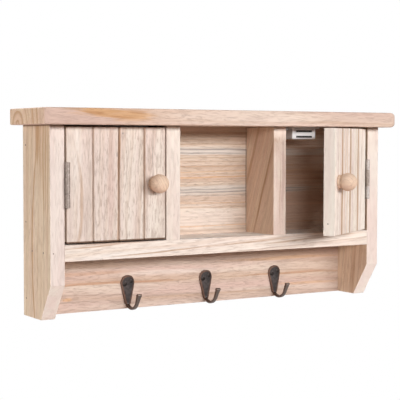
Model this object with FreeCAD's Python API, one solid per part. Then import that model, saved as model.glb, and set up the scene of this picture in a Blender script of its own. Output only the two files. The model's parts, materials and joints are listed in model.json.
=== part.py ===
import FreeCAD
import Part
import math
import os

from FreeCAD import Vector

# A wall key cabinet in raw pale wood: an overhanging top, two sides, a shelf with an open cubby
# between two small plank doors, and a rail of three key hooks below.
# Lengths are millimetres. X runs to the right seen from the front, Y into the wall, Z up.
# Heights are counted from the foot of the sides, and the finished pieces are moved so that
# the origin lies on the wall, midway between the two keyholes that the cabinet hangs by.

# Carcass boards
body_width = 450.0
body_height = 212.0
body_depth = 72.0
side_thickness = 17.0
top_thickness = 18.0
shelf_thickness = 18.0
divider_thickness = 18.0
back_thickness = 14.0
top_side_overhang = 15.0
top_front_overhang = 21.0
top_corner_radius = 8.0
top_edge_round = 1.6
board_edge_round = 0.7
shelf_height = 83.0
cubby_width = 129.0
foot_depth = 46.0
chamfer_rise = 40.0

# Keyholes routed in the back
hanging_height = 172.0
keyhole_spacing = 320.0
keyhole_entry_radius = 4.5
keyhole_slot_width = 4.4
keyhole_track_width = 7.8
keyhole_travel = 12.0
keyhole_lip = 4.0
keyhole_pocket = 3.0

# Plank doors
door_thickness = 14.0
door_top_gap = 2.0
door_bottom_gap = 1.6
door_free_gap = 1.8
wide_plank_count = 3
knob_plank_width = 27.0
plank_vee = 0.9
plank_slit = 0.8
tongue_thickness = 4.0
tongue_length = 3.5
tongue_play = 0.15
left_door_angle = 0.0
right_door_angle = 34.0

# Butt hinges, one to a door
hinge_length = 49.0
leaf_width = 11.0
leaf_thickness = 1.0
leaf_play = 0.2
top_knuckle_length = 12.5
bottom_knuckle_length = 15.0
knuckle_radius = 2.6
knuckle_gap = 0.5
knuckle_shift = 1.2
knuckle_clearance = 0.3
pin_radius = 1.4
pin_play = 0.05
pin_end_dome = 0.5
hinge_screw_spacing = 28.0
hinge_screw_head_radius = 2.3
hinge_screw_radius = 1.2
hinge_screw_length = 9.0

# Turned knobs
knob_ball_radius = 10.6
knob_ball_height = 11.2
knob_foot_radius = 8.5
knob_foot_height = 2.7
knob_foot_round = 0.8
knob_waist_radius = 7.2
knob_waist_height = 4.4
knob_shoulder_height = 6.0
knob_screw_radius = 2.0
knob_screw_bite = 11.0
knob_screw_head_radius = 4.0
knob_screw_head_height = 2.4

# Magnetic catches under the top, and their strike plates on the doors
catch_offset = 38.0
catch_body_width = 35.4
catch_body_height = 12.8
catch_depth = 15.0
catch_flange_width = 48.0
catch_flange_thickness = 2.2
catch_corner_radius = 1.5
pole_width = 24.0
pole_thickness = 2.2
pole_spacing = 6.7
pole_depth = 11.0
pole_recess = 0.4
pole_play = 0.1
magnet_width = 22.0
magnet_depth = 8.5
catch_screw_head_radius = 2.3
catch_screw_head_height = 1.6
catch_screw_radius = 1.3
catch_screw_length = 11.0
strike_width = 24.0
strike_height = 12.0
strike_thickness = 1.0
strike_corner_radius = 2.0
strike_gap = 0.3
strike_screw_head_radius = 2.4
strike_screw_radius = 1.3
strike_screw_length = 9.0

# Key hooks on the rail
hook_middle_x = 4.6
hook_left_spacing = 106.6
hook_right_spacing = 101.4
hook_lowest = -0.3
hook_height = 39.4
hook_plate_radius = 8.9
hook_neck_radius = 3.5
hook_neck_height = 7.5
hook_plate_crown = 2.8
hook_plate_rim = 1.0
hook_arm_width = 4.8
hook_arm_corner = 1.2
hook_arm_start = 14.0
hook_heel_radius = 3.0
hook_heel_turn = 52.0
hook_bowl_radius = 14.5
hook_lean = 27.0
hook_tip_height = 20.4
hook_tip_radius = 1.8
hook_tip_width = 6.6
hook_screw_spread = 9.0
hook_screw_rise = 3.5
hook_screw_drop = 8.6
hook_screw_head_radius = 2.5
hook_screw_head_height = 1.4
hook_screw_dome = 0.5
hook_screw_radius = 1.3
hook_screw_length = 12.0

# Brad nails
nail_radius = 0.7
nail_head_radius = 1.1
nail_head_height = 0.6
nail_length = 32.0
nail_back_inset = 10.0
nail_front_inset = 18.0
rail_nail_height = 20.0
low_panel_nail_height = 105.0
high_panel_nail_height = 190.0

# Fits shared by all screws and nails
screw_play = 0.05
recess_width = 0.7
recess_share = 0.62
recess_depth = 0.8

# Places worked out from the sizes above
side_outer = body_width / 2
side_inner = side_outer - side_thickness
divider_inner = cubby_width / 2
divider_outer = divider_inner + divider_thickness
front = -body_depth
back_front = -back_thickness
shelf_under = shelf_height - shelf_thickness
back_seam = shelf_height - shelf_thickness / 2

door_free_edge = divider_outer + door_free_gap
door_hinge_edge = side_inner - 2 * leaf_thickness - leaf_play
door_width = door_hinge_edge - door_free_edge
door_foot = shelf_height + door_bottom_gap
door_head = body_height - door_top_gap
door_middle = (door_foot + door_head) / 2
door_back = front + door_thickness
knob_x = door_free_edge + knob_plank_width / 2

hinge_gap_middle = side_inner - leaf_thickness - leaf_play / 2
hinge_x = hinge_gap_middle - knuckle_shift
hinge_y = front - knuckle_radius - knuckle_clearance

catch_x = divider_outer + catch_offset
catch_front = door_back + strike_thickness + strike_gap
catch_top = body_height - catch_flange_thickness
pole_middle = catch_top - catch_body_height / 2

hook_arm_thickness = hook_plate_crown
hook_plate_centre = hook_height - hook_plate_radius

near_zero = 0.001
full_turn = 360.0
half_turn = 180.0
quarter_turn = 90.0
to_right = Vector(1, 0, 0)
to_wall = Vector(0, 1, 0)
upward = Vector(0, 0, 1)


# Shapes used by several pieces

def box(x_span, y_span, z_span):
    lengths = [span[1] - span[0] for span in (x_span, y_span, z_span)]
    return Part.makeBox(*lengths, Vector(x_span[0], y_span[0], z_span[0]))


def prism(points, direction):
    # A flat outline carried along a straight direction.
    return Part.Face(Part.makePolygon(points + points[:1])).extrude(direction)


def turned(edges):
    # A closed outline of edges in the XZ plane turned about the Z axis.
    return Part.Face(Part.Wire(edges)).revolve(Vector(), upward, full_turn)


def lathe_lines(profile):
    # Straight edges through (radius, height) pairs, closed along the axis.
    points = [Vector(radius, 0, height) for radius, height in profile]
    return Part.makePolygon(points + points[:1]).Edges


def line(start, end):
    return Part.LineSegment(start, end).toShape()


def arc(start, middle, end):
    return Part.Arc(start, middle, end).toShape()


def cap_arc(rim_radius, rim_height, rise):
    # Half the outline of a shallow ball cap, from its rim up to the axis.
    ball = (rim_radius ** 2 + rise ** 2) / (2 * rise)
    half = math.asin(rim_radius / ball) / 2
    crown = rim_height + rise
    middle = Vector(ball * math.sin(half), 0, crown - ball * (1 - math.cos(half)))
    return arc(Vector(rim_radius, 0, rim_height), middle, Vector(0, 0, crown))


def rounded_plate(width, height, thickness, radius):
    # A plate in the XZ plane about the origin, its thickness along +Y, with rounded corners.
    plate = box((-width / 2, width / 2), (0, thickness), (-height / 2, height / 2))
    corners = [edge for edge in plate.Edges if edge.BoundBox.YLength > near_zero]
    return plate.makeFillet(radius, corners)


def eased(solid, radius, wanted):
    return solid.makeFillet(radius, [edge for edge in solid.Edges if wanted(edge.BoundBox)])


def aimed(shape, point, direction):
    # Points a fastener, drawn pointing down with its head at the origin, along a direction.
    placed = shape.copy()
    placed.Placement = FreeCAD.Placement(point, FreeCAD.Rotation(-upward, direction))
    return placed


def cut_all(solid, tools):
    for tool in tools:
        if solid.BoundBox.intersect(tool.BoundBox):
            solid = solid.cut(tool)
    return solid


def mirrored(shape):
    return shape.mirror(Vector(), to_right)


# Screws and nails, drawn pointing down from the origin; with play they are the holes

def flat_screw(head_radius, head_height, radius, length, play=0.0):
    # Countersunk screw; its hole is open above the head.
    rise = head_height if play else 0
    head = head_radius + play
    shank = radius + play
    profile = [(0, rise), (head, rise), (head, 0), (shank, -head_height), (shank, 2 * radius - length),
               (0, -length - play)]
    screw = turned(lathe_lines(profile if play else profile[2:] + [(0, 0)]))
    return screw if play else screw.cut(cross_recess(head_radius, 0))


def pan_screw(head_radius, head_height, radius, length, play=0.0):
    # Screw with a low cylindrical head that stands on the surface.
    shank = radius + play
    profile = [(0, head_height), (head_radius, head_height), (head_radius, 0), (shank, 0),
               (shank, 2 * radius - length), (0, -length - play)]
    screw = turned(lathe_lines(profile))
    return screw if play else screw.cut(cross_recess(head_radius, head_height))


def oval_screw(head_radius, head_height, dome, radius, length):
    # Countersunk screw with a domed head.
    profile = [(head_radius, 0), (radius, -head_height), (radius, 2 * radius - length), (0, -length)]
    points = [Vector(r, 0, height) for r, height in profile]
    axis = line(points[-1], Vector(0, 0, dome))
    screw = turned([cap_arc(head_radius, 0, dome)] + Part.makePolygon(points).Edges + [axis])
    return screw.cut(cross_recess(head_radius, dome))


def cross_recess(head_radius, head_top):
    reach = head_radius * recess_share
    depth = (head_top - recess_depth, head_top + recess_depth)
    half = recess_width / 2
    return box((-reach, reach), (-half, half), depth).fuse(box((-half, half), (-reach, reach), depth))


def nail(play=0.0):
    radius = nail_radius + play
    head = nail_head_radius + play
    under = -nail_head_height - play
    profile = [(0, play), (head, play), (head, under), (radius, under),
               (radius, 2 * nail_radius - nail_length), (0, -nail_length - play)]
    return turned(lathe_lines(profile))


def nail_lines():
    # Where each nail's head lies and which way it points, for the right half of the cabinet.
    depths = (back_front - nail_back_inset, front + nail_front_inset)
    panel_heights = (rail_nail_height, low_panel_nail_height, high_panel_nail_height)
    shelf_middle = shelf_height - shelf_thickness / 2
    side_middle = side_outer - side_thickness / 2
    divider_middle = divider_inner + divider_thickness / 2
    top_face = body_height + top_thickness
    side = [(Vector(side_outer, depth, shelf_middle), -to_right) for depth in depths]
    side += [(Vector(side_outer, -back_thickness / 2, height), -to_right) for height in panel_heights]
    top = [(Vector(x, depth, top_face), -upward) for x in (side_middle, divider_middle) for depth in depths]
    shelf = [(Vector(divider_middle, depth, shelf_under), upward) for depth in depths]
    return {"side_nails": side, "top_nails": top, "shelf_nails": shelf}


def nails():
    groups = {}
    for name, aims in nail_lines().items():
        half = [aimed(nail(), *aim) for aim in aims]
        groups[name] = half + [mirrored(one) for one in half]
    return groups


def nail_holes():
    half = [aimed(nail(screw_play), *aim) for aims in nail_lines().values() for aim in aims]
    return half + [mirrored(hole) for hole in half]


# Carcass

def top_board():
    half = side_outer + top_side_overhang
    board = box((-half, half), (front - top_front_overhang, 0), (body_height, body_height + top_thickness))
    board = eased(board, top_corner_radius, lambda b: b.ZLength > near_zero and b.YMax < -near_zero)
    return eased(board, top_edge_round, lambda b: b.ZLength < near_zero and b.YMin < -near_zero)


def side_board():
    # The right side, its lower front corner cut off at a slant.
    outline = [(0, 0), (-foot_depth, 0), (front, chamfer_rise), (front, body_height), (0, body_height)]
    board = prism([Vector(side_inner, y, z) for y, z in outline], Vector(side_thickness, 0, 0))
    return eased(board, board_edge_round, lambda b: b.YMin < -near_zero and b.ZMin < body_height - near_zero)


def divider():
    board = box((divider_inner, divider_outer), (front, back_front), (shelf_height, body_height))
    return eased(board, board_edge_round, lambda b: b.ZLength > near_zero and b.YMax < back_front - near_zero)


def shelf():
    board = box((-side_inner, side_inner), (front, back_front), (shelf_under, shelf_height))
    return eased(board, board_edge_round, lambda b: b.XLength > near_zero and b.YMax < back_front - near_zero)


def keyhole(x):
    # Round entry with a narrow slot above it, and a wider track behind the lip for the screw's head.
    deep = keyhole_lip + keyhole_pocket
    entry = Part.makeCylinder(keyhole_entry_radius, deep, Vector(x, 0, hanging_height), -to_wall)
    cut = entry
    for width, start, depth in ((keyhole_slot_width, 0, keyhole_lip),
                                (keyhole_track_width, -keyhole_lip, keyhole_pocket)):
        end = Vector(x, start, hanging_height + keyhole_travel)
        cut = cut.fuse(Part.makeCylinder(width / 2, depth, end, -to_wall))
        cut = cut.fuse(box((x - width / 2, x + width / 2), (start - depth, start), (hanging_height, end.z)))
    return cut


def back_panel():
    board = box((-side_inner, side_inner), (back_front, 0), (back_seam, body_height))
    return cut_all(board, [keyhole(side * keyhole_spacing / 2) for side in (-1, 1)])


def hook_rail():
    board = box((-side_inner, side_inner), (back_front, 0), (0, back_seam))
    return eased(board, board_edge_round,
                 lambda b: b.XLength > near_zero and b.ZMax < near_zero and b.YMax < -near_zero)


# Doors, drawn closed at the right

def plank_edges():
    # Plank joints counted from the free edge: the knob's plank, then the wide ones.
    wide = (door_width - knob_plank_width) / wide_plank_count
    return [door_free_edge, door_free_edge + knob_plank_width] + [
        door_free_edge + knob_plank_width + wide * (number + 1) for number in range(wide_plank_count)]


def plank(start, end, first, last):
    # Matchboard with vee edges: a groove towards the free edge, a tongue towards the hinge,
    # and a slit in front of the tongue, where the shoulders of two planks stay apart.
    middle = front + door_thickness / 2
    tongue = (middle - tongue_thickness / 2, middle + tongue_thickness / 2)
    free_side = [(start, front)] if first else [(start, front + plank_vee), (start + plank_vee, front)]
    shoulder = end - plank_slit
    hinge_side = [(end, front)] if last else [(shoulder - plank_vee, front), (shoulder, front + plank_vee),
                                              (shoulder, tongue[0]), (end, tongue[0])]
    outline = [(start, door_back)] + free_side + hinge_side + [(end, door_back)]
    board = prism([Vector(x, y, door_foot) for x, y in outline], upward * (door_head - door_foot))
    outer = [door_free_edge, door_hinge_edge]
    board = eased(board, board_edge_round, lambda b: b.YMax < front + near_zero and (
        b.XLength > plank_vee + near_zero or min(abs(b.XMin - x) for x in outer) < near_zero))
    if not first:
        groove = (tongue[0] - tongue_play, tongue[1] + tongue_play)
        board = board.cut(box((start, start + tongue_length + tongue_play), groove, (door_foot, door_head)))
    if not last:
        board = board.fuse(box((end, end + tongue_length), tongue, (door_foot, door_head))).removeSplitter()
    return board


def door_planks():
    edges = plank_edges()
    count = len(edges) - 1
    boards = [plank(edges[n], edges[n + 1], n == 0, n == count - 1) for n in range(count)]
    return [cut_all(board, door_holes()) for board in boards]


def door_holes():
    return ([aimed(knob_screw(screw_play), *knob_screw_line()),
             aimed(strike_screw(screw_play), *strike_screw_line())]
            + [aimed(hinge_screw(screw_play), *aim) for aim in hinge_screw_lines(-1)])


def knob():
    # Turned: a rounded foot, a waist and a ball.
    foot = knob_foot_radius - knob_foot_round
    rim = Vector(foot, 0, 0)
    foot_side = Vector(knob_foot_radius, 0, knob_foot_height / 2)
    foot_top = Vector(foot, 0, knob_foot_height)
    waist = Vector(knob_waist_radius, 0, knob_waist_height)
    shoulder_drop = knob_ball_height - knob_shoulder_height
    shoulder = Vector(math.sqrt(knob_ball_radius ** 2 - shoulder_drop ** 2), 0, knob_shoulder_height)
    belly = Vector(knob_ball_radius, 0, knob_ball_height)
    crown = Vector(0, 0, knob_ball_height + knob_ball_radius)
    body = turned([line(Vector(), rim), arc(rim, foot_side, foot_top), arc(foot_top, waist, shoulder),
                   arc(shoulder, belly, crown), line(crown, Vector())])
    body.Placement = FreeCAD.Placement(Vector(knob_x, front, door_middle), FreeCAD.Rotation(upward, -to_wall))
    return body.cut(aimed(knob_screw(screw_play), *knob_screw_line()))


def knob_screw(play=0.0):
    length = door_thickness + knob_screw_bite
    return pan_screw(knob_screw_head_radius, knob_screw_head_height, knob_screw_radius, length, play)


def knob_screw_line():
    return Vector(knob_x, door_back, door_middle), -to_wall


# Hinges, drawn closed at the right

def knuckle_spans():
    low = door_middle - hinge_length / 2
    high = door_middle + hinge_length / 2
    first = low + bottom_knuckle_length
    second = high - top_knuckle_length
    half_gap = knuckle_gap / 2
    frame = [(low, first - half_gap), (second + half_gap, high)]
    door = [(first + half_gap, second - half_gap)]
    return frame, door


def hinge_leaf(side, spans):
    # A flat leaf in the gap beside the door and the knuckles rolled from its front edge.
    near = hinge_gap_middle + side * leaf_play / 2
    far = near + side * leaf_thickness
    thick = (min(near, far), max(near, far))
    low = door_middle - hinge_length / 2
    leaf = box(thick, (front, front + leaf_width), (low, low + hinge_length))
    for span in spans:
        centre = Vector(hinge_x, hinge_y, span[0])
        leaf = leaf.fuse(box(thick, (hinge_y, front), span))
        leaf = leaf.fuse(Part.makeCylinder(knuckle_radius, span[1] - span[0], centre))
    bore = Part.makeCylinder(pin_radius + pin_play, hinge_length, Vector(hinge_x, hinge_y, low))
    holes = [aimed(hinge_screw(screw_play), *aim) for aim in hinge_screw_lines(side)]
    return cut_all(leaf.cut(bore), holes).removeSplitter()


def hinge_pin():
    # A plain pin, flat below and domed above the top knuckle.
    foot_rim = Vector(pin_radius, 0, 0)
    rim = Vector(pin_radius, 0, hinge_length)
    crown = Vector(0, 0, hinge_length + pin_end_dome)
    pin = turned([line(Vector(), foot_rim), line(foot_rim, rim),
                  cap_arc(pin_radius, hinge_length, pin_end_dome), line(crown, Vector())])
    pin.translate(Vector(hinge_x, hinge_y, door_middle - hinge_length / 2))
    return pin


def hinge_screw(play=0.0):
    return flat_screw(hinge_screw_head_radius, leaf_thickness, hinge_screw_radius, hinge_screw_length, play)


def hinge_screw_lines(side):
    # side is 1 for the leaf on the cabinet's side, -1 for the leaf on the door's edge.
    face = hinge_gap_middle + side * leaf_play / 2
    middle = front + leaf_width / 2
    heights = (door_middle - hinge_screw_spacing / 2, door_middle + hinge_screw_spacing / 2)
    return [(Vector(face, middle, height), to_right * side) for height in heights]


# Magnetic catch at the right, and the strike plate on the closed door

def catch_housing():
    half = catch_body_width / 2
    depth = (catch_front, catch_front + catch_depth)
    body = box((catch_x - half, catch_x + half), depth, (catch_top - catch_body_height, catch_top))
    body = eased(body, catch_corner_radius, lambda b: b.ZMax < catch_top - near_zero or b.ZLength > near_zero)
    flange = rounded_plate(catch_flange_width, catch_depth, catch_flange_thickness, catch_corner_radius)
    flange.rotate(Vector(), to_right, quarter_turn)
    flange.translate(Vector(catch_x, catch_front + catch_depth / 2, catch_top))
    housing = body.fuse(flange).removeSplitter()
    slots = [pole_plate(level, pole_play) for level in (-1, 1)]
    holes = [aimed(catch_screw(screw_play), *aim) for aim in catch_screw_lines()]
    return cut_all(housing, slots + [catch_magnet(pole_play)] + holes)


def pole_plate(level, play=0.0):
    middle = pole_middle + level * pole_spacing / 2
    half = pole_width / 2 + play
    tall = pole_thickness / 2 + play
    start = catch_front if play else catch_front + pole_recess
    return box((catch_x - half, catch_x + half), (start, catch_front + pole_recess + pole_depth + play),
               (middle - tall, middle + tall))


def catch_magnet(play=0.0):
    half = magnet_width / 2 + play
    tall = (pole_spacing - pole_thickness) / 2
    end = catch_front + pole_recess + pole_depth
    return box((catch_x - half, catch_x + half), (end - magnet_depth - play, end + play),
               (pole_middle - tall, pole_middle + tall))


def catch_screw(play=0.0):
    return pan_screw(catch_screw_head_radius, catch_screw_head_height, catch_screw_radius,
                     catch_screw_length, play)


def catch_screw_lines():
    reach = (catch_body_width + catch_flange_width) / 4
    middle = catch_front + catch_depth / 2
    return [(Vector(catch_x + side * reach, middle, catch_top), upward) for side in (-1, 1)]


def strike_plate():
    plate = rounded_plate(strike_width, strike_height, strike_thickness, strike_corner_radius)
    plate.translate(Vector(catch_x, door_back, pole_middle))
    return plate.cut(aimed(strike_screw(screw_play), *strike_screw_line()))


def strike_screw(play=0.0):
    return flat_screw(strike_screw_head_radius, strike_thickness, strike_screw_radius,
                      strike_screw_length, play)


def strike_screw_line():
    return Vector(catch_x, door_back + strike_thickness, pole_middle), -to_wall


# Key hooks, drawn with the back at Y zero and the lowest point at Z zero

def teardrop(depth):
    # Two circles joined by their outer tangents.
    span = hook_plate_centre - hook_neck_height
    rise = (hook_plate_radius - hook_neck_radius) / span
    run = math.sqrt(1 - rise * rise)
    points = []
    for radius, height in ((hook_plate_radius, hook_plate_centre), (hook_neck_radius, hook_neck_height)):
        points.append([Vector(side * radius * run, 0, height - radius * rise) for side in (-1, 1)])
    (plate_left, plate_right), (neck_left, neck_right) = points
    outline = [arc(plate_left, Vector(0, 0, hook_height), plate_right),
               line(plate_right, neck_right),
               arc(neck_right, Vector(0, 0, hook_neck_height - hook_neck_radius), neck_left),
               line(neck_left, plate_left)]
    return Part.Face(Part.Wire(outline)).extrude(Vector(0, -depth, 0))


def plate_crown_radius():
    fall = hook_plate_crown - hook_plate_rim
    return (hook_plate_radius ** 2 + fall ** 2) / (2 * fall)


def plate_surface(x):
    # How far the crowned plate stands out from the rail at a distance from its middle line.
    radius = plate_crown_radius()
    return hook_plate_crown - radius + math.sqrt(radius ** 2 - x ** 2)


def hook_plate():
    # The teardrop, crowned across its width.
    radius = plate_crown_radius()
    crown = Part.makeCylinder(radius, hook_height, Vector(0, radius - hook_plate_crown, 0))
    return teardrop(hook_plate_crown).common(crown)


def arm_section(width, height):
    # The arm's rounded section, lying level at a height, its back against the rail.
    half = width / 2
    block = box((-half, half), (-hook_arm_thickness, 0), (height, height + width))
    block = eased(block, hook_arm_corner, lambda b: b.ZLength > near_zero)
    return next(face for face in block.Faces if face.BoundBox.ZMax < height + near_zero)


def hook_arm():
    # Down from the plate, round the heel and the bowl, then up along the finger that leans out and widens.
    middle = hook_arm_thickness / 2
    heel_turn = math.radians(hook_heel_turn)
    lean = math.radians(hook_lean)
    radius_change = hook_bowl_radius - hook_heel_radius
    heel_height = middle + hook_bowl_radius - radius_change * math.sin(heel_turn)
    heel_centre = Vector(0, -middle - hook_heel_radius, heel_height)
    bowl_centre = heel_centre + Vector(0, -math.cos(heel_turn), math.sin(heel_turn)) * radius_change
    finger_way = Vector(0, -math.sin(lean), math.cos(lean))
    finger_foot = bowl_centre + Vector(0, -math.cos(lean), -math.sin(lean)) * hook_bowl_radius
    finger_length = (hook_tip_height - hook_tip_radius - finger_foot.z) / math.cos(lean)
    tip = finger_foot + finger_way * finger_length

    bowl_turn = half_turn - hook_lean - hook_heel_turn
    section = arm_section(hook_arm_width, heel_height)
    bowl_section = section.copy()
    bowl_section.rotate(heel_centre, -to_right, hook_heel_turn)
    finger_ends = []
    for width in (hook_arm_width, hook_tip_width):
        end = arm_section(width, heel_height)
        end.rotate(heel_centre, -to_right, hook_heel_turn)
        end.rotate(bowl_centre, -to_right, bowl_turn)
        finger_ends.append(end)
    finger_ends[1].translate(finger_way * finger_length)
    finger = Part.makeLoft([end.OuterWire for end in finger_ends], True, True)
    bead = Part.makeCylinder(hook_tip_radius, hook_tip_width, tip - to_right * hook_tip_width / 2, to_right)
    return [section.extrude(upward * (hook_arm_start - heel_height)),
            section.revolve(heel_centre, -to_right, hook_heel_turn),
            bowl_section.revolve(bowl_centre, -to_right, bowl_turn),
            finger,
            eased(bead, hook_arm_corner, lambda b: b.XLength < near_zero)]


def hook_screw_points():
    # One screw low at the left, one higher at the right.
    level = hook_height - hook_screw_drop
    points = []
    for side in (-1, 1):
        x = side * hook_screw_spread / 2
        points.append(Vector(x, -plate_surface(x), level + side * hook_screw_rise / 2))
    return points


def hook():
    solid = hook_plate().multiFuse(hook_arm()).removeSplitter()
    return cut_all(solid, [aimed(hook_screw_hole(), point, to_wall) for point in hook_screw_points()])


def hook_screw():
    return oval_screw(hook_screw_head_radius, hook_screw_head_height, hook_screw_dome, hook_screw_radius,
                      hook_screw_length)


def hook_screw_hole():
    return flat_screw(hook_screw_head_radius, hook_screw_head_height, hook_screw_radius, hook_screw_length,
                      screw_play)


def hook_places():
    shifts = (-hook_left_spacing, 0, hook_right_spacing)
    return [Vector(hook_middle_x + shift, back_front, hook_lowest) for shift in shifts]


# Assembly

def carcass_holes():
    right = [aimed(catch_screw(screw_play), *aim) for aim in catch_screw_lines()]
    right += [aimed(hinge_screw(screw_play), *aim) for aim in hinge_screw_lines(1)]
    hooks = [aimed(hook_screw_hole(), place + point, to_wall)
             for place in hook_places() for point in hook_screw_points()]
    return nail_holes() + right + [mirrored(hole) for hole in right] + hooks


def carcass():
    boards = {"top_board": top_board(), "shelf_board": shelf(), "back_panel": back_panel(),
              "hook_rail": hook_rail()}
    for hand, side, upright in (("left", mirrored(side_board()), mirrored(divider())),
                                ("right", side_board(), divider())):
        boards[hand + "_side"] = side
        boards[hand + "_divider"] = upright
    holes = carcass_holes()
    return {name: cut_all(board, holes) for name, board in boards.items()}


def door_pieces():
    # Every piece that swings with the right door, drawn closed.
    planks = door_planks()
    pieces = {"door_plank_%d" % (len(planks) - number): board for number, board in enumerate(planks)}
    door_spans = knuckle_spans()[1]
    pieces["hinge_door_leaf"] = hinge_leaf(-1, door_spans)
    pieces["door_hinge_screws"] = Part.makeCompound(
        [aimed(hinge_screw(), *aim) for aim in hinge_screw_lines(-1)])
    pieces["knob"] = knob()
    pieces["knob_screw"] = aimed(knob_screw(), *knob_screw_line())
    pieces["strike_plate"] = strike_plate()
    pieces["strike_screw"] = aimed(strike_screw(), *strike_screw_line())
    return pieces


def doors():
    nodes = {}
    for name, shape in door_pieces().items():
        for hand, angle in (("left", left_door_angle), ("right", right_door_angle)):
            swung = shape.copy()
            swung.rotate(Vector(hinge_x, hinge_y, 0), upward, angle)
            nodes[hand + "_" + name] = mirrored(swung) if hand == "left" else swung
    return nodes


def fixed_hardware():
    # Hinge halves and catches that stay with the carcass, on both sides.
    frame_spans = knuckle_spans()[0]
    pieces = {"hinge_frame_leaf": hinge_leaf(1, frame_spans), "hinge_pin": hinge_pin(),
              "catch_housing": catch_housing(), "catch_magnet": catch_magnet(),
              "catch_poles": Part.makeCompound([pole_plate(level) for level in (-1, 1)])}
    nodes = {}
    for name, shape in pieces.items():
        nodes["right_" + name] = shape
        nodes["left_" + name] = mirrored(shape)
    screws = {"frame_hinge_screws": [aimed(hinge_screw(), *aim) for aim in hinge_screw_lines(1)],
              "catch_screws": [aimed(catch_screw(), *aim) for aim in catch_screw_lines()]}
    for name, right in screws.items():
        nodes[name] = Part.makeCompound(right + [mirrored(screw) for screw in right])
    return nodes


def hooks():
    nodes = {}
    one = hook()
    screws = []
    for number, place in enumerate(hook_places(), 1):
        placed = one.copy()
        placed.translate(place)
        nodes["key_hook_%d" % number] = placed
        screws += [aimed(hook_screw(), place + point, to_wall) for point in hook_screw_points()]
    nodes["hook_screws"] = Part.makeCompound(screws)
    return nodes


def key_cabinet():
    nodes = carcass()
    nodes.update(doors())
    nodes.update(fixed_hardware())
    nodes.update(hooks())
    nodes.update({name: Part.makeCompound(group) for name, group in nails().items()})
    return nodes


os.makedirs("parts", exist_ok=True)
for node, shape in key_cabinet().items():
    shape.translate(Vector(0, 0, -hanging_height))
    shape.exportStep("parts/%s.step" % node)
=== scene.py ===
import json
import math

import bpy
import numpy as np
from mathutils import Euler, Matrix, Vector

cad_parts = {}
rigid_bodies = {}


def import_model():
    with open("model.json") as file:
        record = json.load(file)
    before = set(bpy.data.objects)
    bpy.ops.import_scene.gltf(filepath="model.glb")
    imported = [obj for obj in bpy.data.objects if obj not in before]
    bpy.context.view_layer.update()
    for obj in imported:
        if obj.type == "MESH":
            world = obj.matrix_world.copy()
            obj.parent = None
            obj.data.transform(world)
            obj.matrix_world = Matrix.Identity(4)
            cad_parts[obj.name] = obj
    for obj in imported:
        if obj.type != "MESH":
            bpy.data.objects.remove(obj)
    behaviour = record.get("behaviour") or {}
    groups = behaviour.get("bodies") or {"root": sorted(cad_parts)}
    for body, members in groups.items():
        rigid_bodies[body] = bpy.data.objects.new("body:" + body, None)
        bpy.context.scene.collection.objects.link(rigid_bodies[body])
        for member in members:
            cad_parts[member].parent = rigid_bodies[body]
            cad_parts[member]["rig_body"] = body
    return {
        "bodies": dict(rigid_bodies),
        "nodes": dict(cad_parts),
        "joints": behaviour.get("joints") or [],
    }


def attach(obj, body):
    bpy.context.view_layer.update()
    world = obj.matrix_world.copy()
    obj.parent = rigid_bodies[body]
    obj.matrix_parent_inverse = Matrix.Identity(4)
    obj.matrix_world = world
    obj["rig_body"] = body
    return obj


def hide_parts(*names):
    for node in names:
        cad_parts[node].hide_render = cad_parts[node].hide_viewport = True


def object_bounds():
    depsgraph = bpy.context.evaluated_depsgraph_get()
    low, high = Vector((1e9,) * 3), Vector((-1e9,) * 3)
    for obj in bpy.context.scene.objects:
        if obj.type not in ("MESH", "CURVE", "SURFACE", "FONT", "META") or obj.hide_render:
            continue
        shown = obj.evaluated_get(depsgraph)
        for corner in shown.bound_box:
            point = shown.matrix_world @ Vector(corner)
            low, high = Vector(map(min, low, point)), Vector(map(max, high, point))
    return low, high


# A raw-wood wall key cabinet: finishes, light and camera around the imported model
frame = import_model()
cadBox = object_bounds()
nodes = dict(frame["nodes"])
hands = ("left", "right")
print("frame loaded:", len(nodes), "nodes")


# Shader maths: a Wire is one socket, and operators on it add Math nodes

class Wire:
    def __init__(self, paint, socket):
        self.paint = paint
        self.socket = socket

    def calc(self, operation, *others):
        return self.paint.node("Math", {"operation": operation}, dict(enumerate((self,) + others)))

    def __add__(self, other):
        return self.calc("ADD", other)

    def __sub__(self, other):
        return self.calc("SUBTRACT", other)

    def __rsub__(self, other):
        return self.calc("MULTIPLY_ADD", -1.0, other)

    def __mul__(self, other):
        return self.calc("MULTIPLY", other)

    def __truediv__(self, other):
        return self.calc("DIVIDE", other)

    def __abs__(self):
        return self.calc("ABSOLUTE")

    __radd__ = __add__
    __rmul__ = __mul__

    def top(self, other):
        return self.calc("MAXIMUM", other)

    def step(self, low, high):  # smooth ramp, 0 at low and 1 at high
        return self.paint.node("MapRange", {"interpolation_type": "SMOOTHSTEP"},
                               {"Value": self, "From Min": low, "From Max": high})


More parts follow.
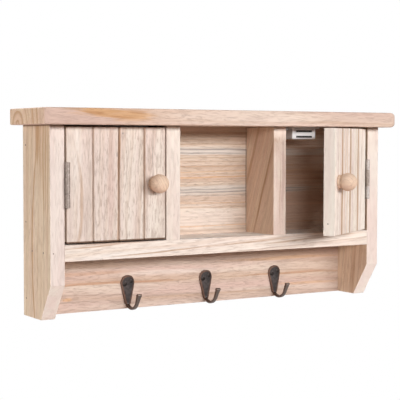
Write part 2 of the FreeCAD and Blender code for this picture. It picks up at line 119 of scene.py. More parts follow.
class Paint:
    def __init__(self, owner):  # a material or a world
        self.owner = owner
        owner.use_nodes = True
        self.tree = owner.node_tree
        self.tree.nodes.clear()

    def node(self, kind, settings=None, inputs=None, out=0):
        made = self.tree.nodes.new("ShaderNode" + kind)
        for key, value in (settings or {}).items():
            setattr(made, key, value)
        for key, value in (inputs or {}).items():
            if isinstance(value, Wire):
                self.tree.links.new(value.socket, made.inputs[key])
            else:
                made.inputs[key].default_value = value
        return Wire(self, made.outputs[out]) if made.outputs else made

    def spot(self):
        return self.node("TexCoord", out="Object")

    def vector(self, operation, *parts, out="Vector"):
        return self.node("VectorMath", {"operation": operation}, dict(enumerate(parts)), out)

    def split(self, vector):
        return [self.node("SeparateXYZ", {}, {"Vector": vector}, axis) for axis in "XYZ"]

    def noise(self, spot, scales, detail=2.0, rough=0.5, out="Fac"):
        stretched = self.vector("MULTIPLY", spot, scales)
        values = {"Vector": stretched, "Scale": 1.0, "Detail": detail, "Roughness": rough}
        return self.node("TexNoise", {}, values, out)

    def drift(self, spot, scales, amount):  # pushes a place sideways by slow noise
        push = self.vector("SUBTRACT", self.noise(spot, scales, detail=3.0, out="Color"), (0.5, 0.5, 0.5))
        return self.vector("ADD", spot, self.vector("MULTIPLY", push, (amount, amount, 0.0)))

    def seenRay(self):  # 1 where the eye, a mirror or a glass looks, 0 for the light that bounces
        kinds = ("Camera", "Glossy", "Transmission")
        eye, mirror, glass = (self.node("LightPath", out="Is %s Ray" % kind) for kind in kinds)
        return eye.top(mirror).top(glass)

    def line(self, value, scale, detail=1.0):  # noise along one number
        return self.node("TexNoise", {"noise_dimensions": "1D"},
                         {"W": value, "Scale": scale, "Detail": detail}, "Fac")

    def mix(self, share, first, second, blend="MIX"):
        colours = {key: value if isinstance(value, Wire) else (*value, 1.0)
                   for key, value in ((6, first), (7, second))}
        return self.node("Mix", {"data_type": "RGBA", "blend_type": blend}, {0: share, **colours}, 2)

    def surface(self, bump, bumpDepth, **inputs):
        relief = {"Height": bump, "Distance": bumpDepth, "Strength": 1.0}
        inputs["Normal"] = self.node("Bump", {}, relief)
        named = {key.replace("_", " "): value for key, value in inputs.items()}
        shader = self.node("BsdfPrincipled", {}, named)
        self.node("OutputMaterial", {}, {"Surface": shader})
        return self.owner


def newPaint(name):
    return Paint(bpy.data.materials.new(name))


def dress(material, *names):
    for name in names:
        mesh = nodes[name].data
        mesh.materials.clear()
        mesh.materials.append(material)


# Doors: how far each one stands open at rest, as a matrix from closed to rest

def doorMatrix(joint):
    hinge = Matrix.Translation(Vector(joint["pos_m"]))
    opened = -math.radians(joint["range_deg"][0])
    return hinge @ Matrix.Rotation(opened, 4, Vector(joint["axis"])) @ hinge.inverted()


joints = {joint["child"]: joint for joint in frame["joints"]}
restOf = {body: doorMatrix(joints[body]) if body in joints else Matrix() for body in frame["bodies"]}


def closedBox(name):
    mesh = nodes[name].data
    points = np.empty(len(mesh.vertices) * 3)
    mesh.vertices.foreach_get("co", points)
    back = np.array(restOf[nodes[name]["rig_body"]].inverted())
    points = points.reshape(-1, 3) @ back[:3, :3].T + back[:3, 3]
    return Vector(points.min(0)), Vector(points.max(0))


# Top board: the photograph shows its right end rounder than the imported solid, so this one stands in for it

topShape = {
    "corner": (0.008, 0.012),        # radius of the left and right front corners, seen from above
    "edge": (0.0016, 0.0056),        # rounding of the edges along the front and left, and at the right end
    "arcSteps": 12,                  # to a quarter circle
    "sink": 0.00005,                 # below the nail heads, so that they show
    "sharpFrom": 35.0,               # degrees between two faces
}


def roundedTop(name):
    # Outline: from the back of the right end round the front to the back of the left end, each corner a
    # quarter circle. Profile: a quarter circle over the edge, straight down, a quarter circle below.
    # Point = outline - outward way * r * (1 - cos t), height = top or bottom -+ r * (1 - sin t)
    low, high = closedBox(name)
    leftCorner, rightCorner = topShape["corner"]
    quarter = np.linspace(0.0, math.pi / 2, topShape["arcSteps"] + 1)
    onRight = np.repeat((True, False), quarter.size + 1)
    angle = np.concatenate(((0.0,), quarter, quarter + math.pi / 2, (math.pi,)))
    outX, outY = np.cos(angle), -np.sin(angle)
    corner = np.where(onRight, rightCorner, leftCorner)
    outlineX = np.where(onRight, high.x - rightCorner, low.x + leftCorner) + outX * corner
    outlineY = low.y + corner + outY * corner
    outlineY[[0, -1]] = high.y
    along, atEnd = topShape["edge"]
    edge = along + (atEnd - along) * np.sqrt(np.clip(outX, 0.0, 1.0))
    inset = np.concatenate((1 - np.cos(quarter[::-1]), 1 - np.cos(quarter)))[:, None] * edge
    over = high.z - topShape["sink"] - (1 - np.sin(quarter[::-1]))[:, None] * edge
    under = low.z + (1 - np.sin(quarter))[:, None] * edge
    height = np.concatenate((over, under))
    points = np.stack((outlineX - outX * inset, outlineY - outY * inset, height), axis=-1)
    rows, columns = inset.shape
    index = np.arange(rows * columns).reshape(rows, columns)
    beside = np.roll(index, -1, axis=1)
    sides = np.stack((index[:-1], beside[:-1], beside[1:], index[1:]), axis=-1).reshape(-1, 4)
    faces = sides.tolist() + [index[0, ::-1].tolist(), index[-1].tolist()]
    mesh = bpy.data.meshes.new("rounded_top")
    mesh.from_pydata(points.reshape(-1, 3).tolist(), [], faces)
    mesh.shade_smooth()
    mesh.set_sharp_from_angle(angle=math.radians(topShape["sharpFrom"]))
    piece = bpy.data.objects.new("rounded_top", mesh)
    bpy.context.scene.collection.objects.link(piece)
    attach(piece, "cabinet")
    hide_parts(name)
    return piece


nodes["top_board"] = roundedTop("top_board")
print("top board rounded")


# Wood: every board is sawn from a trunk of growth rings, so its faces, edges and ends belong together.
# Ring number = distance from the pith / ring width, with a slow warp. The fibres run along the trunk's
# local Z.

woodRatio = {                        # times the board's pale tone
    "late": (0.74, 0.60, 0.48),
    "cream": (1.03, 1.05, 1.01),
    "blush": (0.95, 0.86, 0.85),
    "fibre": (0.72, 0.66, 0.62),
    "pore": (0.62, 0.53, 0.47),
}
stainTone = {
    "brown": (0.52, 0.34, 0.23),
    "umber": (0.46, 0.26, 0.16),
    "amber": (0.64, 0.37, 0.19),
    "rust": (0.47, 0.24, 0.11),
    "russet": (0.48, 0.25, 0.165),
    "tan": (0.80, 0.56, 0.44),
    "rose": (0.62, 0.44, 0.38),
    "grey": (0.30, 0.26, 0.24),
    "ash": (0.66, 0.60, 0.55),
    "chalk": (0.86, 0.78, 0.72),
    # the dark of knots, also used for painted shade in joints and gaps
    "knot": (0.13, 0.065, 0.035),
}
boardLook = {
    "grain": "X",
    "pith": (0.0, 0.06),             # metres from the board's middle, in the two directions across the grain
    "start": 0.0,                    # metres along the trunk, another stretch for every board
    "lean": (0.0, 0.0),              # degrees between trunk and board
    "pale": (0.80, 0.66, 0.58),
    "ringWidth": 0.007,
    "warp": 0.004,
    "figure": 0.5,                   # how brown the ring lines are
    "blush": 0.6,                    # how pink the broad bands are, on cream
    "hairs": 0.55,                   # share of fine lines that follow the rings, the rest are loose fibres
    "fibres": 0.6,
    "pores": 0.3,
    "run": 26.0,                     # fibres to a metre of grain
    "dash": 70.0,                    # pores to a metre of grain
    "edgeCalm": 0.0,                 # how much plainer the narrow edges are
    "endTint": (0.80, 0.74, 0.66),   # on the sawn ends
    "endFigure": 0.8,                # ring lines there
    "faceTint": None,                # on the two broad faces
    "veeTint": None,                 # painted shade on the slanted edges of a plank, in the grooves
    "cutTint": None,                 # on a corner sawn off at a slant; made paler, it is painted light from below
    "seam": 0.0,                     # how dark the painted shade is, in a line where an upright meets the top
    "foot": 0.0,                     # how dark the painted shade is along the lowest edge
    "marks": (),
}
grainNoise = {                       # noise cells to a metre, across and along the grain
    "warp": (22.0, 22.0, 6.0),
    "bands": (75.0, 75.0, 3.0),
    "fibre": (420.0, 420.0),         # along the grain it is the board's run
    "pore": (850.0, 850.0),          # along the grain it is the board's dash
    "stain": (45.0, 45.0, 10.0),
}
stainDrift = 0.006                   # metres by which the stains wander
ringLook = {
    "wander": (0.4, 2.0),            # waves to a ring width, and rings that a wave moves
    "change": (0.7, 0.25),           # noise cells to a ring, and the least strength of a ring line
    "hairs": 2.5,                    # fine lines to a ring
}
grainRamp = {                        # where in its noise, or in a ring, each kind of grain starts and is full
    "late": (0.3, 0.92),
    "lateEnd": (0.92, 1.0),
    "lateStrong": (0.3, 0.75),
    "bands": (0.36, 0.66),
    "streak": (0.48, 0.64),
    "pore": (0.5, 0.66),
}
faceRamp = {                         # the same for how squarely a face looks one way
    "broad": (0.6, 0.95),
    "end": (0.75, 0.95),
    "cut": (0.25, 0.4),
    "cutEnd": (0.75, 0.9),
    "vee": (0.45, 0.6),
    "veeEnd": (0.8, 0.95),
}
edgeShade = {                         # painted shade, in metres from the board's end: dark to the first, gone from the second
    "seam": (0.0009, 0.0018),
    "foot": (0.0013, 0.0021),
}
woodFinish = {
    "rough": (0.5, 0.25),            # least, and how much more the fibres add
    "specular": 0.12,
    "relief": (0.5, 0.25, 0.6),      # rise of fibres and ring lines, depth of pores
    "bump": 0.0004,
}
grainFrames = {"X": Euler((0, math.pi / 2, 0)), "Y": Euler((math.pi / 2, 0, 0)), "Z": Euler((0, 0, 0))}


def times(colour, ratio):
    return tuple(a * b for a, b in zip(colour, ratio))


def trunkMatrix(box, look):
    turn = grainFrames[look["grain"]].to_matrix()
    lean = Euler((math.radians(look["lean"][0]), math.radians(look["lean"][1]), 0)).to_matrix()
    offset = turn @ Vector((look["pith"][0], look["pith"][1], look["start"]))
    return Matrix.Translation((box[0] + box[1]) / 2 + offset) @ (turn @ lean).to_4x4()


def facing(paint, direction):  # 1 on faces square to the direction, 0 on those along it
    normal = paint.node("TexCoord", out="Normal")
    return abs(paint.vector("DOT_PRODUCT", normal, direction, out="Value"))


def addMark(paint, colour, spot, fibre, toTrunk, at, reach, tint, strength, soft=0.7, ragged=0.8, bow=(0, 0),
            level=False):
    # A stain round a point of the closed cabinet: reach is its half size across, deep and along the grain,
    # ragged lets the fibres fray its edge, and bow bends it sideways by bow times the length squared.
    # A level one lies square to the cabinet instead, and its reach is along X, Y and Z
    if level:
        away = paint.vector("SUBTRACT", paint.spot(), at)
    else:
        away = paint.vector("SUBTRACT", spot, toTrunk @ Vector(at))
    if any(bow):
        along = paint.split(away)[2]
        bent = paint.node("CombineXYZ", {}, {"X": along * along * bow[0], "Y": along * along * bow[1]})
        away = paint.vector("ADD", away, bent)
    away = paint.vector("LENGTH", paint.vector("DIVIDE", away, reach), out="Value")
    if ragged:
        away = away + (fibre - 0.5) * ragged
    return paint.mix((1 - away.step(1 - soft, 1.0)) * strength, colour, stainTone[tint])


def woodPaint(name, **changes):
    look = {**boardLook, **changes}
    paint = newPaint("wood-" + name)
    box = closedBox(name)
    rest = restOf[nodes[name]["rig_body"]]
    closedTrunk = trunkMatrix(box, look)
    trunk = rest @ closedTrunk
    still = paint.node("Mapping", {"vector_type": "TEXTURE"}, {
        "Vector": paint.spot(), "Location": trunk.translation, "Rotation": trunk.to_euler()})
    spot = paint.drift(still, grainNoise["warp"], look["warp"] * 2)

    # Ring lines, hairs along them, broad bands, loose fibres and pores
    reach = paint.vector("LENGTH", paint.vector("MULTIPLY", spot, (1.0, 1.0, 0.0)), out="Value")
    waves, wander = ringLook["wander"]
    rings = reach / look["ringWidth"] + paint.line(reach, waves / look["ringWidth"]) * wander
    within = rings.calc("FRACT")
    late = within.step(*grainRamp["late"]) * (1 - within.step(*grainRamp["lateEnd"]))
    pace, least = ringLook["change"]
    late = late * (paint.line(rings, pace).step(*grainRamp["lateStrong"]) * (1 - least) + least)
    hair = paint.line(rings, ringLook["hairs"], detail=4.0)
    bands = paint.noise(spot, grainNoise["bands"], detail=3.0).step(*grainRamp["bands"])
    fibre = paint.noise(spot, (*grainNoise["fibre"], look["run"]), detail=3.0, rough=0.6)
    pore = paint.noise(spot, (*grainNoise["pore"], look["dash"]), detail=3.0, rough=0.7)
    pore = pore.step(*grainRamp["pore"])
    streak = (hair * look["hairs"] + fibre * (1 - look["hairs"])).step(*grainRamp["streak"])

    # Broad faces, sawn ends, and how clear the figure is on each
    size = box[1] - box[0]
    broadWay = rest.to_3x3() @ Vector([float(side == min(size)) for side in size])
    broad = facing(paint, broadWay).step(*faceRamp["broad"])
    clear = broad * look["edgeCalm"] + (1 - look["edgeCalm"])
    grainWay = rest.to_3x3() @ grainFrames[look["grain"]].to_matrix() @ Vector((0, 0, 1))
    across = facing(paint, grainWay)
    ends = across.step(*faceRamp["end"])
    figure = clear * (1 - ends) * look["figure"] + ends * look["endFigure"]

    # Grain, then stains, then tints, then painted shade under the top and along the foot
    tones = {kind: times(look["pale"], ratio) for kind, ratio in woodRatio.items()}
    colour = paint.mix(bands * look["blush"], tones["cream"], tones["blush"])
    colour = paint.mix(late * figure, colour, tones["late"])
    colour = paint.mix(streak * clear * look["fibres"], colour, tones["fibre"])
    colour = paint.mix(pore * clear * look["pores"], colour, tones["pore"])
    if look["marks"]:
        wandering = paint.drift(still, grainNoise["stain"], stainDrift)
        for mark in look["marks"]:
            colour = addMark(paint, colour, wandering, fibre, closedTrunk.inverted(), **mark)
    colour = paint.mix(ends, colour, look["endTint"], "MULTIPLY")
    if look["faceTint"]:
        colour = paint.mix(broad, colour, look["faceTint"], "MULTIPLY")
    if look["cutTint"]:
        cut = across.step(*faceRamp["cut"]) * (1 - across.step(*faceRamp["cutEnd"]))
        colour = paint.mix(cut, colour, look["cutTint"], "MULTIPLY")
    # painted shade in a line under the top board
    if look["seam"]:
        dark, shadeEnd = edgeShade["seam"]
        nearTop = paint.split(paint.spot())[2].step(box[1].z - shadeEnd, box[1].z - dark)
        colour = paint.mix(nearTop * look["seam"], colour, stainTone["knot"])
    # painted shade along the lowest edge, for the gap under a door
    if look["foot"]:
        dark, shadeEnd = edgeShade["foot"]
        nearFoot = 1 - paint.split(paint.spot())[2].step(box[0].z + dark, box[0].z + shadeEnd)
        colour = paint.mix(nearFoot * look["foot"], colour, stainTone["knot"])
    if look["veeTint"]:
        slant = facing(paint, grainWay.cross(broadWay))
        vee = slant.step(*faceRamp["vee"]) * (1 - slant.step(*faceRamp["veeEnd"]))
        colour = paint.mix(vee, colour, look["veeTint"], "MULTIPLY")

    ridge, ring, pit = woodFinish["relief"]
    height = fibre * ridge + late * ring - pore * pit
    smooth, more = woodFinish["rough"]
    dress(paint.surface(height, woodFinish["bump"], Base_Color=colour, Roughness=fibre * more + smooth,
                        Specular_IOR_Level=woodFinish["specular"]), name)


# Carcass boards, with the stains and streaks that each one shows

faceAt = {                           # Y of a front, and X of the left side
    "top": -0.093,
    "front": -0.072,
    "back": -0.014,
    "left": -0.225,
}
stainDepth = {"top": 0.03, "side": 0.03, "shelf": 0.02, "back": 0.008, "rail": 0.03, "plank": 0.01}


def topStreak(middle, height, half, length, tint, strength):
    return {"at": (middle, faceAt["top"], height), "reach": (half, stainDepth["top"], length),
            "tint": tint, "strength": strength, "ragged": 1.2}


topMarks = (
    topStreak(-0.215, 0.0490, 0.0300, 0.100, "rose", 0.60),
    topStreak(-0.174, 0.0540, 0.0085, 0.046, "amber", 0.95),
    topStreak(-0.140, 0.0505, 0.0085, 0.040, "amber", 0.90),
    topStreak(-0.182, 0.0515, 0.0024, 0.020, "rust", 0.65),
    topStreak(-0.150, 0.0480, 0.0026, 0.024, "rust", 0.60),
    topStreak(-0.130, 0.0545, 0.0024, 0.020, "rust", 0.50),
    topStreak(-0.208, 0.0555, 0.0026, 0.018, "brown", 0.55),
    topStreak(0.020, 0.0490, 0.0200, 0.150, "chalk", 0.25),
    topStreak(0.020, 0.0440, 0.0018, 0.200, "brown", 0.25),
    topStreak(0.175, 0.0510, 0.0120, 0.110, "rose", 0.45),
    topStreak(0.150, 0.0440, 0.0022, 0.110, "brown", 0.45),
    topStreak(-0.011, 0.0490, 0.0007, 0.007, "grey", 0.30),
)
woodPaint("top_board", pith=(0.015, 0.015), start=0.3, lean=(1.0, 0.6), ringWidth=0.009,
          pale=(0.75, 0.585, 0.495), figure=0.45, blush=0.8, fibres=0.45, dash=90.0,
          endTint=(1.02, 0.99, 0.87), endFigure=1.8, marks=topMarks)


def sideStreak(depth, half, strength, height=-0.07, length=0.22, bow=0.0, tint="brown"):
    return {"at": (faceAt["left"], depth, height), "reach": (stainDepth["side"], half, length),
            "tint": tint, "strength": strength, "bow": (0.0, bow), "ragged": 1.3}


leftMarks = (
    sideStreak(-0.0500, 0.0240, 0.34, height=0.020, length=0.085),
    sideStreak(-0.0240, 0.0026, 0.90, height=-0.09, bow=1.0),
    sideStreak(-0.0400, 0.0070, 0.90, height=0.028, length=0.034),
    sideStreak(-0.0470, 0.0018, 0.85, height=0.015, length=0.050, bow=1.6),
    sideStreak(-0.0540, 0.0022, 0.75, height=-0.005, length=0.090, bow=0.8),
    sideStreak(-0.0610, 0.0024, 0.70, height=0.0, length=0.14, bow=0.4),
    sideStreak(-0.0670, 0.0022, 0.60, height=0.0, length=0.16),
    sideStreak(-0.0390, 0.0014, 0.50, height=-0.11, length=0.09, bow=0.6),
    sideStreak(-0.0480, 0.0030, 0.30, height=-0.12, length=0.08),
    sideStreak(-0.0120, 0.0080, 0.25, height=-0.03, length=0.09),
    sideStreak(-0.0190, 0.0130, 0.22, height=0.020, length=0.07),
    sideStreak(-0.0090, 0.0014, 0.40, height=-0.12, length=0.09),
    {"at": (-0.2215, -0.072, -0.0975), "reach": (0.0011, 0.002, 0.0011), "tint": "knot", "strength": 0.8,
     "ragged": 0},
)
# cutTint here is painted light on the slanted cut at the foot
woodPaint("left_side", grain="Z", seam=0.7, pith=(0.05, 0.01), start=1.9, lean=(1.2, 0.0),
          pale=(0.775, 0.665, 0.63), figure=0.2, fibres=0.55, faceTint=(0.93, 0.87, 0.715), edgeCalm=0.8,
          cutTint=(1.07, 1.10, 1.09), marks=leftMarks)
rightMarks = (
    {"at": (0.208, -0.045, -0.14), "reach": (0.02, 0.006, 0.05), "tint": "brown", "strength": 0.45},
    {"at": (0.208, -0.060, -0.12), "reach": (0.02, 0.004, 0.03), "tint": "brown", "strength": 0.35},
)
# faceTint gives the broad faces their tan and, made paler, painted light on the shaded inner face; cutTint is
# painted light on the slanted cut at the foot
woodPaint("right_side", grain="Z", seam=0.6, pith=(-0.05, 0.03), start=3.1, lean=(6.0, 0.0),
          pale=(0.795, 0.692, 0.645), faceTint=(1.12, 1.04, 0.89), edgeCalm=0.8,
          cutTint=(1.16, 1.22, 1.24), marks=rightMarks)


def shelfLine(middle, height, half, length, strength, tint="brown"):
    return {"at": (middle, faceAt["front"], height), "reach": (half, stainDepth["shelf"], length),
            "tint": tint, "strength": strength}


shelfMarks = (
    shelfLine(0.170, -0.0930, 0.0012, 0.050, 0.60),
    shelfLine(0.089, -0.0972, 0.0013, 0.060, 0.75),
    shelfLine(0.033, -0.0955, 0.0013, 0.080, 0.75),
    shelfLine(-0.130, -0.1025, 0.0060, 0.090, 0.80, tint="chalk"),
    shelfLine(-0.090, -0.1013, 0.0013, 0.085, 0.80),
    shelfLine(-0.174, -0.0921, 0.0012, 0.055, 0.75),
    {"at": (-0.150, -0.0685, -0.0888), "reach": (0.100, 0.0065, 0.0028), "tint": "umber", "strength": 0.75,
     "soft": 0.6, "ragged": 0.2, "level": True},  # painted shade of the gap under the left door
)
# faceTint makes the shelf's broad faces paler, which is painted light on its top
woodPaint("shelf_board", pith=(0.05, 0.02), start=4.4, lean=(0.0, -3.0), ringWidth=0.006,
          pale=(0.85, 0.74, 0.685), figure=0.45, blush=0.3, hairs=0.75, fibres=0.5, dash=65.0,
          faceTint=(1.12, 1.24, 1.34), marks=shelfMarks)
woodPaint("left_divider", grain="Z", seam=0.5, pith=(0.05, 0.02), start=5.7, lean=(2.0, 0.0),
          pale=(0.81, 0.72, 0.665), figure=0.3, fibres=0.5, pores=0.2, edgeCalm=0.5)
dividerMarks = (
    {"at": (0.0645, -0.051, -0.03), "reach": (0.02, 0.0026, 0.090), "tint": "brown", "strength": 0.85},
    {"at": (0.0645, -0.029, 0.01), "reach": (0.02, 0.0036, 0.070), "tint": "brown", "strength": 0.7},
    {"at": (0.0645, -0.064, 0.00), "reach": (0.02, 0.0060, 0.060), "tint": "brown", "strength": 0.3},
    {"at": (0.0645, -0.040, -0.06), "reach": (0.02, 0.0016, 0.040), "tint": "brown", "strength": 0.5},
    {"at": (0.0785, -0.072, -0.02), "reach": (0.0032, 0.03, 0.120), "tint": "rose", "strength": 0.75},
    {"at": (0.0745, -0.072, -0.04), "reach": (0.0010, 0.03, 0.090), "tint": "brown", "strength": 0.55},
    {"at": (0.0690, -0.072, 0.00), "reach": (0.0010, 0.03, 0.060), "tint": "rose", "strength": 0.45},
)
woodPaint("right_divider", grain="Z", seam=0.5, pith=(0.03, 0.06), start=6.8, lean=(21.0, 0.0),
          ringWidth=0.01, pale=(0.80, 0.66, 0.59), faceTint=(1.09, 1.01, 0.90), figure=0.3, fibres=0.35,
          pores=0.15, edgeCalm=0.8, marks=dividerMarks)


def backStreak(height, half, tint, strength, middle=0.0, length=0.26, ragged=0.9):
    return {"at": (middle, faceAt["back"], height), "reach": (half, stainDepth["back"], length),
            "tint": tint, "strength": strength, "ragged": ragged}


backMarks = (
    # painted shade under the top board, browner, and redder at its very top
    backStreak(0.0290, 0.0100, "brown", 0.25),
    backStreak(0.0370, 0.0060, "tan", 0.5, length=0.09),
    backStreak(-0.0700, 0.0220, "chalk", 0.45, length=0.09),
    # painted shade: the back panel browner and warmer behind the two doors
    backStreak(-0.0250, 0.1000, "russet", 0.42, middle=0.148, length=0.085),
    backStreak(-0.0250, 0.1000, "russet", 0.42, middle=-0.148, length=0.085),
    backStreak(-0.0550, 0.0500, "tan", 0.32, middle=0.148, length=0.085),
    backStreak(-0.0550, 0.0500, "tan", 0.32, middle=-0.148, length=0.085),
    backStreak(0.0144, 0.0014, "umber", 0.45, middle=0.165, length=0.06),
    backStreak(0.0041, 0.0014, "umber", 0.65, middle=0.165, length=0.06),
    backStreak(-0.0150, 0.0065, "umber", 0.35, middle=0.165, length=0.07),
    backStreak(-0.0241, 0.0014, "umber", 0.5, middle=0.165, length=0.06),
    backStreak(-0.0561, 0.0030, "tan", 0.5, middle=0.165, length=0.06),
    backStreak(0.0092, 0.0075, "ash", 0.85, ragged=1.4),
    backStreak(0.0126, 0.0014, "grey", 0.7, ragged=1.8),
    backStreak(0.0078, 0.0013, "grey", 0.65, middle=-0.01, length=0.10, ragged=1.8),
    backStreak(0.0043, 0.0013, "brown", 0.5),
    backStreak(-0.0025, 0.0009, "brown", 0.35),
    backStreak(-0.0085, 0.0014, "brown", 0.5),
    backStreak(-0.0112, 0.0009, "brown", 0.35),
    backStreak(-0.0145, 0.0012, "amber", 0.4),
    backStreak(-0.0175, 0.0009, "brown", 0.35),
    backStreak(-0.0205, 0.0015, "amber", 0.6),
    backStreak(-0.0240, 0.0009, "brown", 0.35),
    backStreak(-0.0355, 0.0085, "ash", 0.7, ragged=1.4),
    backStreak(-0.0348, 0.0012, "grey", 0.6, ragged=1.8),
    backStreak(-0.0381, 0.0014, "grey", 0.75, ragged=1.8),
    backStreak(-0.0420, 0.0010, "grey", 0.4, middle=0.02, length=0.12, ragged=1.8),
    backStreak(-0.0517, 0.0012, "amber", 0.4),
    backStreak(-0.0577, 0.0012, "brown", 0.35),
    backStreak(-0.0790, 0.0014, "amber", 0.5),
    {"at": (0.0645, -0.014, -0.0240), "reach": (0.0028, 0.008, 0.095), "tint": "knot", "strength": 0.6,
     "ragged": 0.3, "level": True},  # painted shade in the corner beside the right divider
)
woodPaint("back_panel", pith=(0.20, 0.05), start=8.2, ringWidth=0.005, warp=0.002, pale=(0.67, 0.548, 0.462),
          figure=0.7, pores=0.4, run=10.0, dash=80.0, marks=backMarks)


def railStreak(middle, height, half, length, tint, strength):
    return {"at": (middle, faceAt["back"], height), "reach": (half, stainDepth["rail"], length),
            "tint": tint, "strength": strength, "ragged": 1.0}


railMarks = (
    # painted shadow of the shelf along the top of the rail
    railStreak(-0.14, -0.1200, 0.0040, 0.120, "brown", 0.40),
    railStreak(0.15, -0.1208, 0.0040, 0.120, "brown", 0.30),
    railStreak(0.00, -0.1410, 0.0055, 0.300, "brown", 0.40),
    railStreak(0.17, -0.1400, 0.0300, 0.090, "brown", 0.22),
    railStreak(-0.12, -0.1415, 0.0024, 0.130, "umber", 0.75),
    railStreak(0.13, -0.1440, 0.0022, 0.100, "umber", 0.70),
    railStreak(0.00, -0.1615, 0.0024, 0.180, "brown", 0.40),
    railStreak(-0.15, -0.1290, 0.0030, 0.080, "umber", 0.45),
    railStreak(0.12, -0.1240, 0.0026, 0.120, "amber", 0.45),
    railStreak(0.16, -0.1580, 0.0028, 0.070, "amber", 0.45),
    railStreak(0.05, -0.1520, 0.0060, 0.200, "rose", 0.30),
    railStreak(-0.05, -0.1320, 0.0040, 0.080, "chalk", 0.35),
    railStreak(-0.178, -0.1570, 0.0030, 0.009, "amber", 0.60),
    railStreak(-0.183, -0.1570, 0.0012, 0.0014, "rust", 0.60),
)
woodPaint("hook_rail", pith=(0.03, 0.05), start=9.6, lean=(1.0, 0.8), ringWidth=0.011,
          pale=(0.650, 0.523, 0.459), figure=0.6, blush=0.9, hairs=0.65, fibres=0.8, pores=0.4, run=10.0,
          dash=80.0, marks=railMarks)


# Door planks: 1 stands next to the hinge and 4 carries the knob

plankLook = {
    "grain": "Z",
    "lean": (1.5, 1.0),
    "figure": 0.45,
    "hairs": 0.2,
    "fibres": 0.7,
    "pores": 0.6,
    "dash": 100.0,
    "edgeCalm": 0.85,
    # painted shade in the grooves between planks
    "veeTint": (0.85, 0.78, 0.72),
}
jointAt = (0.1743, 0.1428, 0.1113)   # from the middle of the cabinet: planks 1 and 2, 2 and 3, 3 and 4
doorLook = {
    "left": {
        "pale": (0.752, 0.655, 0.603),
        # painted shade of the gap under the door
        "foot": 0.9,
        "start": 11.0,
        "stain": ((0.0008, 0.2), (0.0020, 0.85), (0.0012, 0.45)),  # half width and strength at each joint
    },
    "right": {
        "pale": (0.93, 0.85, 0.795),
        "foot": 0.0,
        "start": 18.0,
        "stain": ((0.0045, 0.8), (0.0050, 0.85), (0.0055, 0.9)),
    },
}
plankTrunk = {
    "pithStep": 0.01,                # from plank to plank
    "pithDepth": 0.05,
    "startStep": 1.3,
}


def plankStreak(middle, half, tint, strength, height=-0.025, length=0.20, bow=0.0, ragged=0.8):
    return {"at": (middle, faceAt["front"], height), "reach": (half, stainDepth["plank"], length),
            "tint": tint, "strength": strength, "bow": (bow, 0), "ragged": ragged}


plankMarks = {
    "left_door_plank_1": (
        plankStreak(-0.188, 0.0028, "brown", 0.60, height=-0.048, length=0.10, bow=2.2),
        plankStreak(-0.198, 0.0040, "brown", 0.25, height=0.012, length=0.03),
        plankStreak(-0.195, 0.0090, "chalk", 0.45, height=0.015, length=0.06),
    ),
    "left_door_plank_2": (
        plankStreak(-0.152, 0.0060, "rose", 0.50, length=0.11),
        plankStreak(-0.1445, 0.0014, "grey", 0.60, height=0.0075, length=0.004),
    ),
    "left_door_plank_3": (
        plankStreak(-0.1379, 0.0013, "grey", 0.85, height=0.031, length=0.0017, ragged=0),
    ),
    "left_door_plank_4": (
        plankStreak(-0.0998, 0.0007, "grey", 0.45, height=0.012, length=0.022),
    ),
    "right_door_plank_2": (
        plankStreak(0.152, 0.0020, "rose", 0.5),
        plankStreak(0.167, 0.0022, "amber", 0.3),
    ),
    "right_door_plank_3": (
        plankStreak(0.121, 0.0018, "amber", 0.4),
        plankStreak(0.131, 0.0022, "amber", 0.45),
        plankStreak(0.126, 0.0014, "rose", 0.4),
    ),
    "right_door_plank_4": (
        plankStreak(0.0960, 0.0022, "rose", 0.45),
        plankStreak(0.1040, 0.0022, "rose", 0.5),
        {"at": (0.0843, -0.064, -0.0735), "reach": (0.002, 0.0012, 0.0012), "tint": "knot", "strength": 0.7,
         "ragged": 0},
    ),
}
plankChanges = {"left_door_plank_1": {"pores": 0.3, "hairs": 0.5}, "right_door_plank_1": {"pores": 0.4}}


def jointMarks(hand, number):  # the darker bands along the joints beside one plank
    side = -1 if hand == "left" else 1
    for joint in (number - 2, number - 1):
        if 0 <= joint < len(jointAt):
            half, strength = doorLook[hand]["stain"][joint]
            yield plankStreak(side * jointAt[joint], half, "brown", strength)


for hand in hands:
    door = doorLook[hand]
    for number in (1, 2, 3, 4):
        name = "%s_door_plank_%d" % (hand, number)
        look = {**plankLook, **plankChanges.get(name, {})}
        woodPaint(name, **look, pale=door["pale"], foot=door["foot"],
                  pith=(plankTrunk["pithStep"] * number, plankTrunk["pithDepth"]),
                  start=door["start"] + plankTrunk["startStep"] * number,
                  marks=plankMarks.get(name, ()) + tuple(jointMarks(hand, number)))


# Turned knobs

knobLook = {
    "grain": "Y",
    "pith": (0.02, 0.01),
    "start": 30.0,
    "ringWidth": 0.004,
    "pale": (0.82, 0.61, 0.48),
    "figure": 0.3,
    "pores": 0.1,
    "endTint": (1.0, 1.0, 1.0),
    "endFigure": 0.3,
}
for hand in hands:
    woodPaint(hand + "_knob", **knobLook)
print("wood painted")


# Metals: a dull tone with worn patches and fine scuffs

